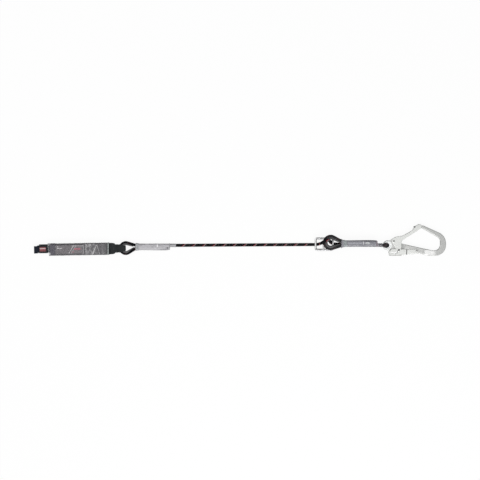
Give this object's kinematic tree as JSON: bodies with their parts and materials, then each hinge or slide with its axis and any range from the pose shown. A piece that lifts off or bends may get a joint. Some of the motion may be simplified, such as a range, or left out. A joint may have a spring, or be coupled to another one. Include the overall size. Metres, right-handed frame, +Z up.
{
  "type": "adjustable rope lanyard",
  "caption": "Adjustable rope lanyard with a folded webbing energy absorber, a three-bar rope adjuster and a double-action scaffold hook.",
  "frame": {"origin": "on the surface that the lanyard lies on, under the middle of its box", "axes": "+X along the lanyard from the harness loop to the hook, +Z up from the surface, +Y to the hook gate's side"},
  "size_m": [1.6895, 0.1313, 0.0498],
  "materials": {
    "rope": "braided polyamide with red and white tracers",
    "thimble_plastic": "moulded",
    "clear_sleeve": "clear shrink sleeve",
    "navy_webbing": "woven webbing",
    "black_webbing": "woven webbing",
    "clear_cover": "clear sheet cover",
    "label_card": null,
    "tag_cloth": "sewn tag",
    "bright_steel": "bright plated",
    "hook_metal": "forged, satin",
    "pressed_metal": "pressed, plated",
    "rivet_steel": "dark"
  },
  "bodies": {
    "rope": {"rope_eye": "rope", "rope_thimble": "thimble_plastic", "rope_sleeve": "clear_sleeve", "rope_main": "rope"},
    "absorber": {"absorber_cover": "clear_cover", "tear_webbing": "navy_webbing", "pack_label": "label_card", "harness_loop": "navy_webbing", "harness_loop_keeper": "black_webbing", "keeper_tag": "tag_cloth", "lanyard_loop": "black_webbing"},
    "adjuster": {"adjuster_frame": "bright_steel", "rope_adjuster_run": "rope", "rope_end_cap": "thimble_plastic", "link_rope": "rope", "link_thimble": "thimble_plastic", "link_sleeve": "clear_sleeve"},
    "hook": {"hook_body": "hook_metal", "gate_rivet": "rivet_steel", "lever_rivet": "rivet_steel", "gate_spring": "bright_steel", "lever_spring": "bright_steel"},
    "gate": {"gate": "pressed_metal", "lock_pin": "rivet_steel", "gate_tip_rivet": "rivet_steel"},
    "lever": {"safety_lever": "pressed_metal"}
  },
  "joints": [
    {"name": "absorber_swing", "type": "hinge", "parent": "rope", "child": "absorber", "pos_m": [-0.469, -0.0335, 0.0119], "axis": [0, 0, 1], "range_deg": [-70, 70]},
    {"name": "length_adjust", "type": "slide", "parent": "rope", "child": "adjuster", "axis": [-1, 0, 0], "range_m": [0, 0.4], "deforming": ["rope_main"]},
    {"name": "hook_swing", "type": "hinge", "parent": "adjuster", "child": "hook", "pos_m": [0.6039, -0.0221, 0.0165], "axis": [0.0399, 0, 0.9992], "range_deg": [-70, 70]},
    {"name": "gate_open", "type": "hinge", "parent": "hook", "child": "gate", "pos_m": [0.62868, -0.0057, 0.01551], "axis": [-0.0399, 0, -0.9992], "range_deg": [0, 25], "stiffness_Nm_per_rad": 1, "springref_deg": -17.19, "deforming": ["gate_spring"]},
    {"name": "lever_press", "type": "hinge", "parent": "hook", "child": "lever", "pos_m": [0.7223, -0.0451, 0.01177], "axis": [-0.0399, 0, -0.9992], "range_deg": [0, 5], "deforming": ["lever_spring"]}
  ],
  "couplings": [
    {"joint": "lever_press", "follows": "gate_open", "ratio": 0.2}
  ]
}
